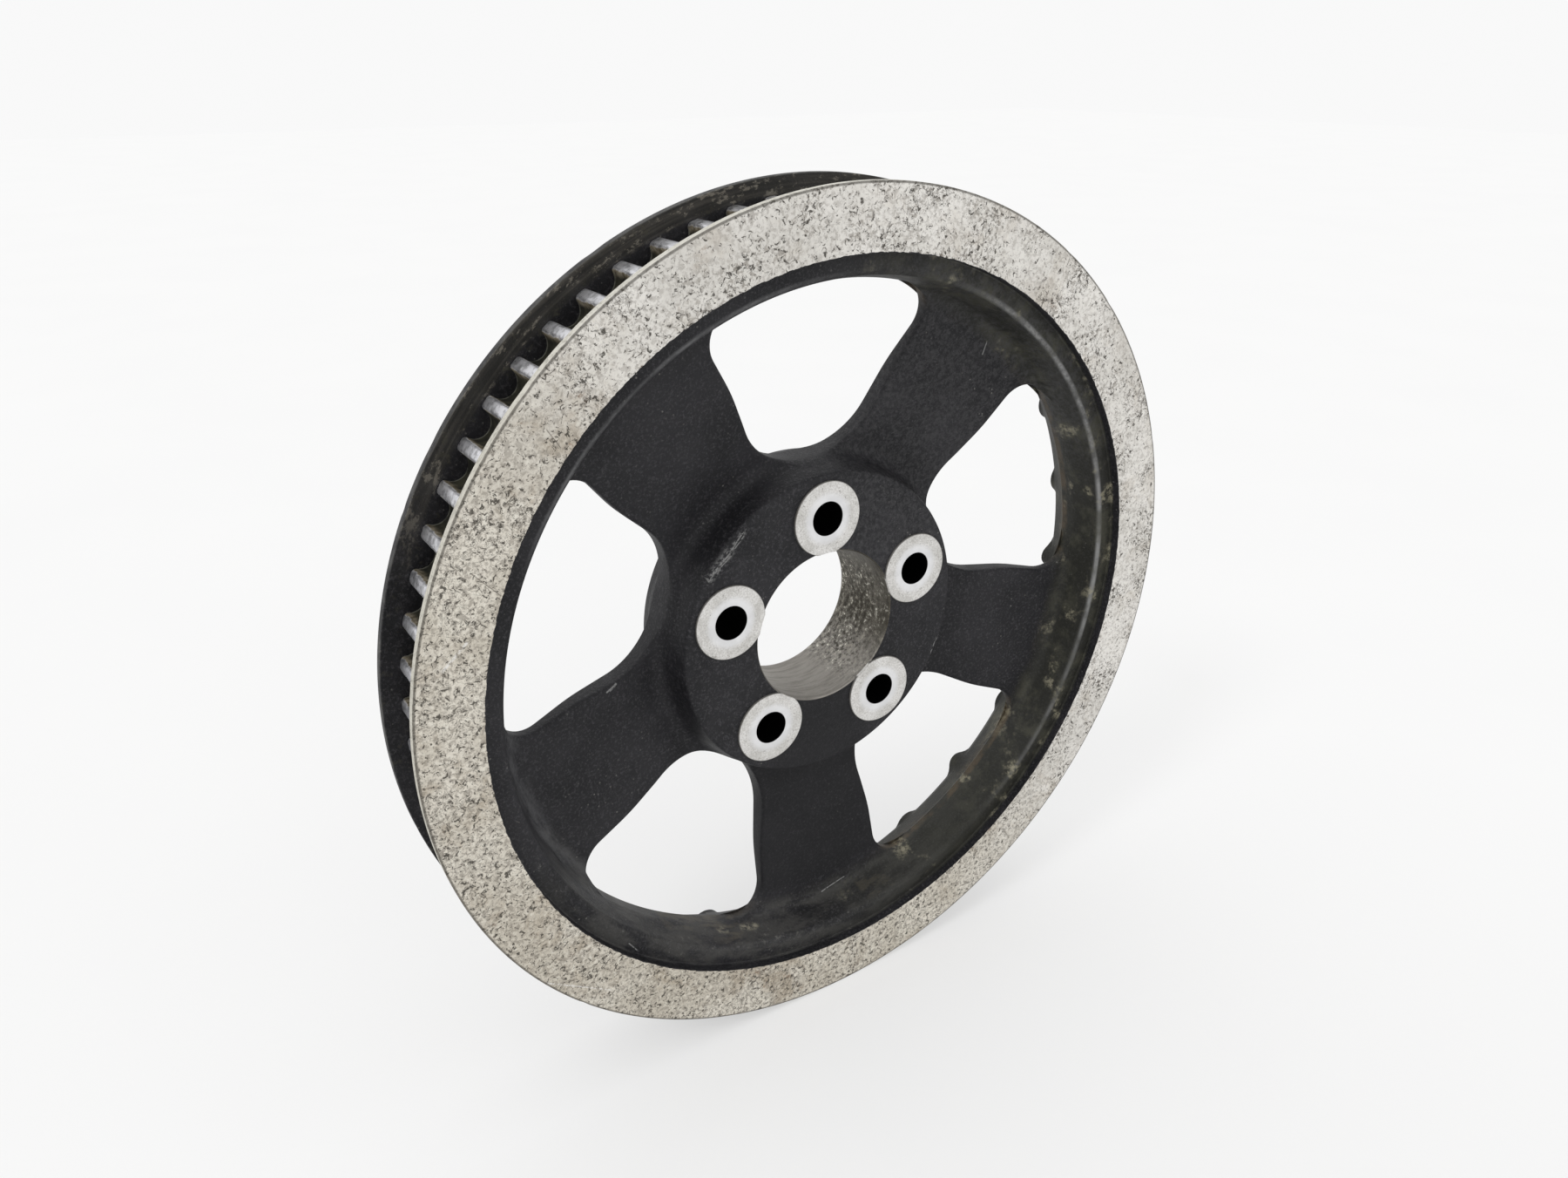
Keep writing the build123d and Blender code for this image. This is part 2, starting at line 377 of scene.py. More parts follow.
def scratches(m):
    """Mask of the scratches, and of the powdery rubbing at the hub's upper left."""
    marks = m.most(*[m.stroke(start, end, width) for start, end, width in SCRATCHES])
    marks = m.times(marks, m.step(m.noise(900.0, 3.0, 0.6), 0.36, 0.54))
    powder = m.most(m.stroke((-46.5, 30.0), (-39.0, 38.0), 5.5), m.stroke((-39.0, 38.0), (-33.5, 43.5), 3.5))
    powder = m.times(powder, m.step(m.noise(760.0, 4.0, 0.7), 0.46, 0.60), 0.7)
    return m.times(m.most(marks, powder), m.step(m.depth, 34.0, 31.0))


def turned_bore(m):
    """Colour and roughness of the bore's bare turned wall, scaly with corrosion on the right."""
    rings = m.noise(650.0, 4.0, 0.65, at=m.turned(0.004))
    low = m.toward(-92, 30, 50)
    bare = m.mix(m.step(m.noise(55.0, 4.0), 0.35, 0.65), (0.062, 0.055, 0.042), (0.140, 0.130, 0.108))
    bare = m.mix(m.times(low, 0.85), bare, (0.330, 0.312, 0.285))
    bare = m.mix(m.step(rings, 0.42, 0.66, 0.0, m.blend(low, 0.5, 0.3)), bare, (0.050, 0.045, 0.036))
    scaly = m.noise(620.0, 5.0, 0.75, at=m.turned(0.028))
    scaly_arc = m.times(m.toward(-18, 34, 24), m.step(m.depth, 20.0, 30.0, 0.5, 1.0))
    bare = m.mix(m.times(m.step(scaly, 0.50, 0.40), scaly_arc, 0.8), bare, (0.026, 0.022, 0.015))
    bare = m.mix(m.times(m.step(scaly, 0.52, 0.62), scaly_arc, 0.8), bare, (0.36, 0.34, 0.285))
    bright = m.times(m.step(scaly, 0.585, 0.63), scaly_arc, m.step(m.noise(110.0, 3.0), 0.42, 0.54))
    bare = m.mix(bright, bare, (0.78, 0.76, 0.68))
    rear_chamfer = m.step(m.depth, HUB_REAR - 1.0, HUB_REAR - 0.5, 0.0, 0.6)
    bare = m.mix(rear_chamfer, bare, (0.36, 0.35, 0.32))
    return bare, m.blend(rings, 0.38, 0.6)


def black_paint():
    """Worn powder coat of the casting, with painted highlights and shade, the bore left bare and the bolt
    holes painted near black for their shade.
    """
    m = Shader("black_paint")
    roughness, normal = paint_layers(m)
    # Painted highlight: a pale grey, slightly metallic tint along the ledge's rounded edge where it catches
    # the light.
    ledge_highlight_mask = painted_ledge_highlight(m)
    m.tint((0.60, 0.60, 0.605), ledge_highlight_mask)
    break_up = m.noise(420.0, 5.0, 0.7)
    patch = m.noise(60.0, 4.0, 0.6)
    low_wall_sheen_and_marks(m, break_up, patch)
    wall_dust(m, break_up, patch)
    spoke_shade_and_sheen(m)
    m.tint((0.27, 0.27, 0.265), scratches(m), 0.7)

    bore = m.step(m.radius, BORE_RADIUS + 0.5, BORE_RADIUS + 0.35)
    bare, bare_roughness = turned_bore(m)
    m.tint(bare, bore)
    roughness = m.blend(bore, roughness, bare_roughness)

    # Painted shade: the bolt holes' walls are near black and fully rough, standing for the shade deep inside
    # them.
    hole = m.step(from_bolts(m), HOLE_RADIUS + 0.4, HOLE_RADIUS + 0.2)
    m.tint((0.002, 0.002, 0.002), hole)
    metallic = m.most(m.times(bore, 0.7), m.times(ledge_highlight_mask, 0.4), hole)
    return m.finish(m.blend(hole, roughness, 1.0), metallic, normal)


def pitted_aluminium(m):
    """Bare corroded metal, brownest at the lower left; returns its pits, tone patches and mottling."""
    shade = m.toward(222, 62, 44)
    patch = m.noise(34.0, 5.0, 0.62)
    light = m.mix(shade, (0.770, 0.750, 0.712), (0.700, 0.660, 0.580))
    dull = m.mix(shade, (0.650, 0.630, 0.590), (0.550, 0.508, 0.430))
    m.color = m.mix(m.step(patch, 0.38, 0.62), dull, light)
    stain = m.step(m.noise(52.0, 5.0, 0.7, distortion=0.6), 0.50, 0.70)
    m.tint((0.335, 0.270, 0.190), stain, m.blend(shade, 0.30, 0.60))

    # Fine mottling all over, with ragged pits where the metal is most corroded
    crowd = m.most(m.step(m.noise(62.0, 4.0, 0.65), 0.40, 0.62), m.times(shade, 0.7))
    mottle = m.noise(620.0, 4.0, 0.7, distortion=0.5)
    dark_mottle = m.step(mottle, 0.53, 0.40, 0.0, m.blend(crowd, 0.32, 0.66))
    m.tint((0.215, 0.190, 0.160), dark_mottle)
    pale_mottle = m.step(mottle, 0.54, 0.70, 0.0, m.blend(shade, 0.35, 0.55))
    m.tint((0.80, 0.78, 0.70), pale_mottle)
    ragged = m.noise(640.0, 5.0, 0.74, distortion=0.8)
    pits = m.step(ragged, m.blend(crowd, 0.595, 0.54), m.blend(crowd, 0.62, 0.570))
    worm = m.math("ABSOLUTE", m.math("SUBTRACT", m.noise(260.0, 3.0, 0.6, distortion=1.6), 0.5))
    worms = m.times(m.step(worm, 0.020, 0.007), crowd, m.step(patch, 0.46, 0.6))
    large_pits = m.step(m.noise(230.0, 5.0, 0.7, distortion=1.0), 0.655, 0.70)
    holes = m.most(pits, m.times(worms, 0.7), m.times(large_pits, 0.8))
    m.tint((0.055, 0.049, 0.040), holes, 0.92)
    rust = m.times(m.step(m.noise(210.0, 5.0, 0.7), 0.60, 0.68), stain)
    m.tint((0.22, 0.125, 0.065), rust, 0.65)
    return holes, patch, mottle


def bare_ring():
    """Pitted and stained bare aluminium, with black paint on the flange's inner wall."""
    m = Shader("bare_ring")
    holes, patch, mottle = pitted_aluminium(m)
    scored = m.most(
        m.stroke((-129.0, 58.5), (-121.5, 50.0), 0.5),
        m.stroke((-104.0, 94.0), (-100.5, 88.5), 0.4),
    )
    m.tint((0.10, 0.085, 0.07), scored, 0.6)
    chalk = m.most(
        m.stroke((-140.0, 32.0), (-132.5, 38.5), 1.2),
        m.stroke((-121.9, -89.0), (-99.6, -103.8), 0.7),
    )
    m.tint((0.80, 0.79, 0.77), chalk, m.step(mottle, 0.4, 0.55), 0.7)

    # Dark line just inside the outer edge, and a paler edge
    face = m.step(m.depth, 0.5, 0.2)
    edge_line = m.times(face, m.step(m.radius, RIM_RADIUS - 0.95, RIM_RADIUS - 0.45))
    m.tint((0.085, 0.078, 0.065), edge_line, 0.75)
    outer = m.times(m.step(m.radius, RIM_RADIUS - 0.32, RIM_RADIUS - 0.2), m.without(face))
    m.tint((0.56, 0.545, 0.48), outer, 0.7)

    # The inner wall is painted, up to a slightly ragged edge
    raggedness = m.step(m.noise(500.0, 3.0), 0.3, 0.7, 0.0, 0.3)
    paint_edge = m.math("ADD", FLANGE_INNER_RADIUS + 0.1, raggedness)
    painted = m.math("LESS_THAN", m.radius, paint_edge)
    metal = m.color
    paint_roughness, _ = paint_layers(m)
    m.color = m.mix(painted, metal, m.color)
    roughness = m.blend(holes, m.blend(patch, 0.46, 0.66), 0.85)
    roughness = m.blend(painted, roughness, paint_roughness)
    metallic = m.times(m.without(painted), m.blend(holes, 0.5, 0.1))
    relief = m.math("SUBTRACT", m.times(mottle, 0.6), holes)
    return m.finish(roughness, metallic, m.bump(relief, 0.00025, 0.6))


def belt_teeth():
    """Tooth tips polished by the belt, with dirt in the gaps."""
    m = Shader("belt_teeth")
    dirt_noise = m.noise(260.0, 4.0, 0.65)
    height = m.math("ADD", m.radius, m.step(dirt_noise, 0.3, 0.7, -0.35, 0.35))
    tip_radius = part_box("toothed_ring")[1][2] / MM
    polished = m.step(height, tip_radius - 1.1, tip_radius - 0.4)
    flank = m.step(height, tip_radius - 3.6, tip_radius - 1.6)
    grime = m.mix(m.step(dirt_noise, 0.35, 0.7), (0.009, 0.009, 0.006), (0.034, 0.032, 0.019))
    tan = m.mix(m.step(m.noise(500.0, 4.0), 0.38, 0.62), (0.085, 0.070, 0.042), (0.24, 0.21, 0.155))
    m.color = m.mix(flank, grime, tan)
    metal = m.mix(m.step(m.noise(420.0, 4.0), 0.36, 0.56), (0.46, 0.46, 0.475), (0.80, 0.80, 0.83))
    m.tint(metal, polished)

    # Dirt packed against the front flange, and a worn line where the gaps meet the rear one
    front_dirt = m.times(m.step(m.depth, 9.5, 3.5), m.step(dirt_noise, 0.30, 0.55))
    m.tint((0.195, 0.178, 0.115), front_dirt, m.without(polished), 0.85)
    rear_line = m.step(m.depth, BELT_REAR - 1.0, BELT_REAR - 0.6)
    rear_line = m.times(rear_line, m.without(polished), m.step(dirt_noise, 0.35, 0.55), 0.7)
    m.tint((0.125, 0.125, 0.105), rear_line)
    roughness = m.blend(polished, 0.85, m.blend(m.noise(900.0), 0.20, 0.45))
    normal = m.bump(m.noise(1400.0, 3.0), 0.0001, 0.6)
    m.surface.inputs["Specular IOR Level"].default_value = 0.3
    return m.finish(roughness, m.blend(polished, 0.1, 0.9), normal)


def rear_ring():
    """Black flange whose inner face the belt's edge has worn brown-grey."""
    m = Shader("rear_ring")
    roughness, normal = paint_layers(m)
    rings = m.noise(700.0, 3.0, 0.6, at=m.turned(0.004))
    face = m.step(m.depth, BELT_REAR + 0.6, BELT_REAR + 0.2)
    worn = m.times(face, m.toward(102, 38, 26), m.step(m.radius, 144.8, 146.8))
    tan = m.mix(m.step(rings, 0.4, 0.7), (0.030, 0.029, 0.026), (0.078, 0.072, 0.062))
    m.tint(tan, worn, 0.8)
    scuffs = m.times(worn, m.step(m.noise(330.0, 5.0, 0.75, at=m.turned(0.07)), 0.54, 0.62))
    m.tint((0.23, 0.210, 0.175), scuffs, 0.7)
    dust = m.times(face, m.step(m.noise(200.0, 5.0, 0.7), 0.56, 0.70))
    m.tint((0.062, 0.058, 0.042), dust, 0.6)
    rim = m.step(m.radius, RIM_RADIUS - 0.35, RIM_RADIUS - 0.1)
    rim_wear = m.times(rim, m.blend(m.step(m.noise(240.0, 4.0), 0.40, 0.6), 0.25, 1.0))
    m.tint((0.10, 0.098, 0.092), rim_wear, 0.45)
    return m.finish(roughness, m.times(worn, 0.3), normal)


def seat_metal():
    """Bright turned face around each bolt hole, smooth where the bolt head sat, with a painted dark ring of
    shade and dirt at its edge, and near black in the hole as painted shade.
    """
    m = Shader("seat_metal")
    nearest = from_bolts(m)
    fine = m.noise(1500.0, 4.0, 0.7)
    smudge = m.noise(130.0, 4.0, 0.6)
    outer = m.step(nearest, 7.6, 10.4)
    clamped = m.mix(m.step(smudge, 0.38, 0.62), (0.675, 0.675, 0.68), (0.75, 0.75, 0.755))
    speckled = m.mix(m.step(smudge, 0.36, 0.62), (0.61, 0.60, 0.575), (0.74, 0.73, 0.71))
    speckled = m.mix(m.step(fine, 0.58, 0.42, 0.0, 0.35), speckled, (0.28, 0.26, 0.235))
    spots = m.step(m.noise(1100.0, 5.0, 0.7, distortion=0.7), 0.60, 0.67)
    speckled = m.mix(m.times(spots, 0.75), speckled, (0.13, 0.115, 0.095))
    m.color = m.mix(outer, clamped, speckled)
    ridge = m.band(nearest, 9.35, 9.55, 0.15)
    m.tint((0.20, 0.19, 0.17), ridge, spots)
    # Painted shade with dirt: a dark ring round the seat's outer edge, where it meets the casting.
    rim = m.step(nearest, 13.05, 13.45)
    m.tint((0.055, 0.050, 0.042), rim, 0.85)
    # Painted shade: near black inside the bolt hole.
    hole = m.step(nearest, HOLE_RADIUS + 0.35, HOLE_RADIUS + 0.15)
    m.tint((0.002, 0.002, 0.002), hole)
    roughness = m.blend(outer, 0.38, 0.55)
    normal = m.bump(m.math("SUBTRACT", 0.0, m.times(spots, outer)), 0.0001, 0.5)
    m.surface.inputs["Specular IOR Level"].default_value = 0.3
    return m.finish(m.blend(hole, roughness, 1.0), m.most(hole, 0.4), normal)


# ---------------------------------------------------------------- casting: profiles and outline

# A window is bounded by two circles about the axis and two sides, each of two straight runs that meet
# at a rounded bend. BEND is that corner (across, outward) from the window's middle line, and a slope is
# a run's change across per mm outward.
WINDOW_INNER = 59.9
WINDOW_OUTER = 121.2
BEND = (32.35, 88.5)
INNER_SLOPE = 0.45
OUTER_SLOPE = 0.625
BEND_ROUND = 72.0
INNER_ROUND = 24.8
OUTER_ROUND = 10.8

# Width and depth of the rounding along a window's edges
LIP = 1.6
REAR_LIP = 0.35

# Half-round bosses behind the windows: every third one is larger. Each is (reach, curve): the radius
# that it reaches in to, and its own radius.
BOSS_COUNT = 24
BOSS_SPACING = 360 / BOSS_COUNT
BOSS_TURN = -4.65
BOSS_FRONT = 21.0
BOSS_END = 34.45
BOSS_SEAT_RADIUS = 127.0
LARGE_BOSS = (125.2, 4.2)
SMALL_BOSS = (128.1, 6.0)

# Back of the rim, where the toothed ring sits on it
RIM_OUTER = 133.9
RIM_REAR = 34.6
RIM_INNER_REAR = 131.2

BORE_MOUTH = BORE_RADIUS + BORE_CHAMFER
HUB_RADIUS = 57.0

# (radius, depth, corner radius) from the bore's mouth out to the belt seat
FRONT_PROFILE = [
    (BORE_MOUTH, HUB_FRONT, 0.0), (HUB_RADIUS, HUB_FRONT, 1.6), (59.9, 29.6, 6.0), (80.0, 24.4, 30.0),
    (120.4, 17.4, 5.0), (123.4, 5.2, 1.2), (125.2, 4.1, 1.6), (130.6, 4.0, 0.5), (130.65, 3.0, 0.0),
]
REAR_PROFILE = [
    (BORE_MOUTH, HUB_REAR, 0.0), (HUB_RADIUS, HUB_REAR, 1.6), (59.6, 37.5, 4.5), (121.8, 20.8, 3.0),
    (127.2, 30.8, 2.5), (RIM_INNER_REAR, RIM_REAR, 0.0),
]


def rounded_line(points, steps=7):
    """Points along a line whose corners are rounded to the radius each one gives."""
    line = [points[0][:2]]
    for before, corner, after in zip(points, points[1:], points[2:]):
        here = Vector(corner[:2])
        back = (Vector(before[:2]) - here).normalized()
        ahead = (Vector(after[:2]) - here).normalized()
        half_angle = back.angle(ahead) / 2
        if corner[2] == 0.0 or half_angle > math.radians(89.5):
            line.append(tuple(here))
            continue
        reach = corner[2] / math.tan(half_angle)
        for step in range(steps + 1):
            share = step / steps
            start = here + back * reach * (1 - share)
            end = here + ahead * reach * share
            line.append(tuple(start.lerp(end, share)))
    line.append(points[-1][:2])
    return line


def depth_on(line, radius):
    """Depth of a profile line at one radius."""
    for (radius_a, depth_a), (radius_b, depth_b) in zip(line, line[1:]):
        if radius <= radius_b:
            run = radius_b - radius_a
            share = 0.0 if run < 1e-9 else (radius - radius_a) / run
            return depth_a + (depth_b - depth_a) * max(0.0, share)
    return line[-1][1]


def arc_points(centre, radius, start, end, spacing):
    """Points along an arc, without its last one, about a spacing apart."""
    count = max(3, round(abs(math.radians(end - start)) * radius / spacing))
    points = []
    for step in range(count):
        angle = math.radians(start + (end - start) * step / count)
        points.append((centre[0] + radius * math.cos(angle), centre[1] + radius * math.sin(angle)))
    return points


def degrees_of(x, z):
    """Direction of a point about the origin."""
    return math.degrees(math.atan2(z, x))


def corner_centre(slope, circle_radius, offset):
    """Centre of a corner round that touches a side run and lies on a circle about the axis."""
    shift = BEND[0] - slope * BEND[1] - offset * math.hypot(1, slope)
    a = slope * slope + 1
    b = 2 * slope * shift
    c = shift * shift - circle_radius * circle_radius
    height = (-b + math.sqrt(b * b - 4 * a * c)) / (2 * a)
    return slope * height + shift, height


def window_half():
    """Right half of a window's outline, from its middle at the hub to its middle at the rim."""
    inner = corner_centre(INNER_SLOPE, WINDOW_INNER + INNER_ROUND, INNER_ROUND)
    outer = corner_centre(OUTER_SLOPE, WINDOW_OUTER - OUTER_ROUND, OUTER_ROUND)
    inner_normal = -math.degrees(math.atan(INNER_SLOPE))
    outer_normal = -math.degrees(math.atan(OUTER_SLOPE))
    bend_half = math.radians(inner_normal - outer_normal) / 2
    run = BEND_ROUND * math.tan(bend_half)
    bend_start = Vector(BEND) - Vector((INNER_SLOPE, 1)).normalized() * run
    bend_centre = bend_start + Vector((1, -INNER_SLOPE)).normalized() * BEND_ROUND
    points = arc_points((0, 0), WINDOW_INNER, 90, degrees_of(*inner), 1.1)
    points += arc_points(inner, INNER_ROUND, degrees_of(*inner) - 180, inner_normal, 1.7)
    inner_turn = math.radians(inner_normal)
    line_start = Vector(inner) + Vector((math.cos(inner_turn), math.sin(inner_turn))) * INNER_ROUND
    for share in (0.0, 0.25, 0.5, 0.75):
        points.append(tuple(line_start.lerp(bend_start, share)))
    points += arc_points(tuple(bend_centre), BEND_ROUND, 180 + inner_normal, 180 + outer_normal, 1.8)
    bend_end = Vector(BEND) + Vector((OUTER_SLOPE, 1)).normalized() * run
    outer_turn = math.radians(outer_normal)
    line_end = Vector(outer) + Vector((math.cos(outer_turn), math.sin(outer_turn))) * OUTER_ROUND
    for share in (0.0, 0.2, 0.4, 0.6, 0.8):
        points.append(tuple(bend_end.lerp(line_end, share)))
    points += arc_points(outer, OUTER_ROUND, outer_normal, degrees_of(*outer), 1.2)
    points += arc_points((0, 0), WINDOW_OUTER, degrees_of(*outer), 90, 2.2)
    points.append((0.0, WINDOW_OUTER))
    return points


def outline_frames(points):
    """Each outline point with its offset point, one lip width away from the window."""
    frames = []
    for index, here in enumerate(points):
        before = points[max(index - 1, 0)]
        after = points[min(index + 1, len(points) - 1)]
        run = Vector((after[0] - before[0], after[1] - before[1])).normalized()
        if index in (0, len(points) - 1):
            run = Vector((1.0, 0.0)) if index == 0 else Vector((-1.0, 0.0))
        frames.append((Vector(here), Vector(here) + Vector((run.y, -run.x)) * LIP))
    return frames


def bezier(start, control, end, share):
    """Point or number on a quadratic curve."""
    return start * (1 - share) ** 2 + control * 2 * share * (1 - share) + end * share * share


def lip_section(edge, inside, front, rear):
    """(point, depth) pairs from the front face over the window's edge to the rear face."""
    front_edge = depth_on(front, edge.length)
    rear_edge = depth_on(rear, edge.length)
    front_round = min(LIP, (rear_edge - front_edge) * 0.42)
    halves = []
    for profile, edge_depth, fall in ((front, front_edge, front_round), (rear, rear_edge, -REAR_LIP)):
        start = depth_on(profile, inside.length)
        shares = [step / 5 for step in range(6)]
        depths = [bezier(start, edge_depth, edge_depth + fall, share) for share in shares]
        halves.append([(bezier(inside, edge, edge, share), depth) for share, depth in zip(shares, depths)])
    return halves[0] + halves[1][::-1]


def column_angles():
    """Angles of the mesh's columns, closer together over the rim's bosses."""
    near = (0.0, 0.5, 1.0, 1.5, 2.0, 2.6, 3.4, 4.5, 5.9)
    offsets = sorted({sign * angle for angle in near for sign in (-1, 1)} | {BOSS_SPACING / 2})
    bosses = [TOP_HOLE_ANGLE + BOSS_TURN + BOSS_SPACING * index for index in range(BOSS_COUNT)]
    angles = {boss + offset for boss in bosses for offset in offsets}
    middles = [TOP_HOLE_ANGLE + SPOKE_TURN * index for index in range(SPOKES)]
    kept = [a for a in angles if min(abs((a - m + 180) % 360 - 180) for m in middles) > 0.3]
    return sorted(angle % 360 for angle in kept + middles)


def place_3d(radius, degrees, depth):
    """Point in metres from a radius, an angle and a depth in mm."""
    angle = math.radians(degrees)
    return Vector((radius * math.cos(angle) * MM, FRONT_Y + depth * MM, radius * math.sin(angle) * MM))


def add_grid(mesh, rows):
    """Quads between each row of points and the next."""
    lines = [[mesh.verts.new(point) for point in row] for row in rows]
    for upper, lower in zip(lines, lines[1:]):
        for index in range(len(upper) - 1):
            mesh.faces.new((upper[index], upper[index + 1], lower[index + 1], lower[index]))


def boss_radius(degrees, depth):
    """Inner radius of the rim's bosses at an angle, or a large number away from them."""
    far_away = 1000.0
    if depth > BOSS_END:
        return far_away
    turn = (degrees - TOP_HOLE_ANGLE - BOSS_TURN) % 360
    index = round(turn / BOSS_SPACING) % BOSS_COUNT
    reach, curve = LARGE_BOSS if index % 3 == 0 else SMALL_BOSS
    away = abs(math.radians(turn - BOSS_SPACING * round(turn / BOSS_SPACING))) * BOSS_SEAT_RADIUS

    # A round nose, then straight sides that flare into the wall
    if away < curve * 0.9:
        return reach + curve - math.sqrt(curve * curve - away * away)
    return reach + curve * 0.564 + (away - curve * 0.9) * 1.1


def soft_least(first, second, width):
    """Smaller of two values with a rounded join."""
    share = max(0.0, width - abs(first - second)) / width
    return min(first, second) - share * share * width / 4


def rim_chain(front, rear):
    """(radius, depth, is rear wall) round the rim from the front of the web to its rear."""
    start = WINDOW_OUTER + LIP
    chain = [(start, depth_on(front, start), False)]
    chain += [(radius, depth, False) for radius, depth in front if radius > start + 0.05]
    seat = [(RIM_OUTER, 3.0), (RIM_OUTER, RIM_REAR), (131.9, RIM_REAR), (131.25, 34.5)]
    chain += [(radius, depth, False) for radius, depth in seat]

    # Rear wall, divided finely enough to carry the bosses
    walls = [(131.0, 34.38)]
    walls += [(128.0 + 0.9 * step, 31.6 + 0.86 * step) for step in (3, 2, 1)]
    walls += [point for point in rear if start + 0.05 < point[0] < 131.1][::-1]
    divided = [walls[0]]
    for radius, depth in walls[1:]:
        last = divided[-1]
        pieces = max(1, round(math.dist(last, (radius, depth)) / 1.4))
        for piece in range(1, pieces + 1):
            share = piece / pieces
            divided.append((last[0] + (radius - last[0]) * share, last[1] + (depth - last[1]) * share))
    chain += [(radius, depth, True) for radius, depth in divided]
    chain.append((start, depth_on(rear, start), True))
    return chain


def hub_chain(front, rear):
    """(radius, depth) from the front of the web in over the hub, through the bore, to its rear."""
    start = WINDOW_INNER - LIP
    barrel_edge = 55.2
    face = [55.0 - 4.3 * step for step in range(6)] + [BORE_MOUTH]
    chain = [(start, depth_on(front, start))]
    chain += [point for point in front[::-1] if barrel_edge < point[0] < start - 0.05]
    chain += [(radius, HUB_FRONT) for radius in face]
    wall = (HUB_FRONT + BORE_CHAMFER, 24.0, 32.0, 40.0, HUB_REAR - BORE_CHAMFER)
    chain += [(BORE_RADIUS, depth) for depth in wall]
    chain += [(radius, HUB_REAR) for radius in face[::-1]]
    chain += [point for point in rear if barrel_edge < point[0] < start - 0.05]
    chain.append((start, depth_on(rear, start)))
    return chain


def middle_radii(front, count):
    """Radii of the rows along a spoke's middle, evenly spaced along its front profile."""
    start = WINDOW_INNER - LIP
    end = WINDOW_OUTER + LIP
    line = [(start, depth_on(front, start))]
    line += [point for point in front if start < point[0] < end] + [(end, depth_on(front, end))]
    lengths = [0.0]
    for before, after in zip(line, line[1:]):
        lengths.append(lengths[-1] + math.dist(before, after))
    radii = []
    segment = 0
    for row in range(count):
        target = lengths[-1] * row / (count - 1)
        while segment < len(line) - 2 and lengths[segment + 1] < target:
            segment += 1
        share = (target - lengths[segment]) / (lengths[segment + 1] - lengths[segment])
        radii.append(line[segment][0] + (line[segment + 1][0] - line[segment][0]) * min(1.0, share))
    return radii


def add_spokes(mesh, frames, front, rear):
    """Front and rear faces of the spokes, from one window's lip to the next one's."""
    half = SPOKE_TURN / 2
    middles = middle_radii(front, len(frames))
    angles = column_angles()
    for profile in (front, rear):
        for index in range(SPOKES):
            middle = TOP_HOLE_ANGLE + SPOKE_TURN * index + half
            turns = [((angle - middle + 180) % 360 - 180) / half for angle in angles]
            turns = sorted(turn for turn in turns if abs(turn) < 0.9999)
            rows = []
            for (_, inside), middle_radius in zip(frames, middles):
                half_angle = half - math.degrees(math.atan2(inside.x, inside.y))
                row = []
                for turn in [-1.0] + turns + [1.0]:
                    share = abs(turn) ** 2.5
                    radius = middle_radius + (inside.length - middle_radius) * share
                    row.append(place_3d(radius, middle + turn * half_angle, depth_on(profile, radius)))
                rows.append(row)
            add_grid(mesh, rows)


def add_lips(mesh, frames, front, rear):
    """Rounded walls of the windows."""
    sections = [lip_section(edge, inside, front, rear) for edge, inside in frames]
    for index in range(SPOKES):
        window_angle = TOP_HOLE_ANGLE + SPOKE_TURN * index
        for side in (-1, 1):
            rows = []
            for section in sections:
                row = []
                for place, depth in section:
                    turn = side * math.degrees(math.atan2(place.x, place.y))
                    row.append(place_3d(place.length, window_angle - turn, depth))
                rows.append(row)
            add_grid(mesh, rows)


def joined(mesh):
    """The mesh with touching points merged and every face turned outward."""
    bmesh.ops.remove_doubles(mesh, verts=mesh.verts, dist=0.003 * MM)
    bmesh.ops.recalc_face_normals(mesh, faces=mesh.faces)
    return mesh


def make_casting():
    """Hub, spokes and rim as one dense mesh with rounded window edges."""
    front = rounded_line(FRONT_PROFILE)
    rear = rounded_line(REAR_PROFILE)
    frames = outline_frames(window_half())
    mesh = bmesh.new()
    add_spokes(mesh, frames, front, rear)
    add_lips(mesh, frames, front, rear)

    angles = column_angles()
    ring_angles = angles + [angles[0] + 360]
    add_grid(mesh, [[place_3d(r, a, d) for a in ring_angles] for r, d in hub_chain(front, rear)])
    rim_rows = []
    for radius, depth, on_wall in rim_chain(front, rear):
        row = []
        for angle in ring_angles:
            shaped = radius
            if on_wall and depth > BOSS_FRONT:
                shaped = soft_least(radius, boss_radius(angle, depth), 1.6)
            row.append(place_3d(shaped, angle, depth))
        rim_rows.append(row)
    add_grid(mesh, rim_rows)
    return joined(mesh)


def cut_bolt_holes(casting):
    """Open the casting at each bolt hole, just clear of the seats' sleeves."""
    mesh = bmesh.new()
    clear_radius = (SLEEVE_RADIUS + 0.04) * MM
    for index in range(SPOKES):
        middle = place_3d(BOLT_CIRCLE_RADIUS, TOP_HOLE_ANGLE + SPOKE_TURN * index, 32.0)
        turn = Matrix.Translation(middle) @ Matrix.Rotation(math.radians(90), 4, "X")
        bmesh.ops.create_cone(
            mesh, cap_ends=True, segments=72, radius1=clear_radius, radius2=clear_radius,
            depth=40 * MM, matrix=turn,
        )
    cutter = new_object("cutter", mesh)
    modifier = casting.modifiers.new("holes", "BOOLEAN")
    modifier.object = cutter
    modifier.solver = "EXACT"
    graph = bpy.context.evaluated_depsgraph_get()
    result = bpy.data.meshes.new_from_object(casting.evaluated_get(graph))
    casting.modifiers.clear()
    casting.data = result
    bpy.data.objects.remove(cutter)


# ---------------------------------------------------------------- toothed ring

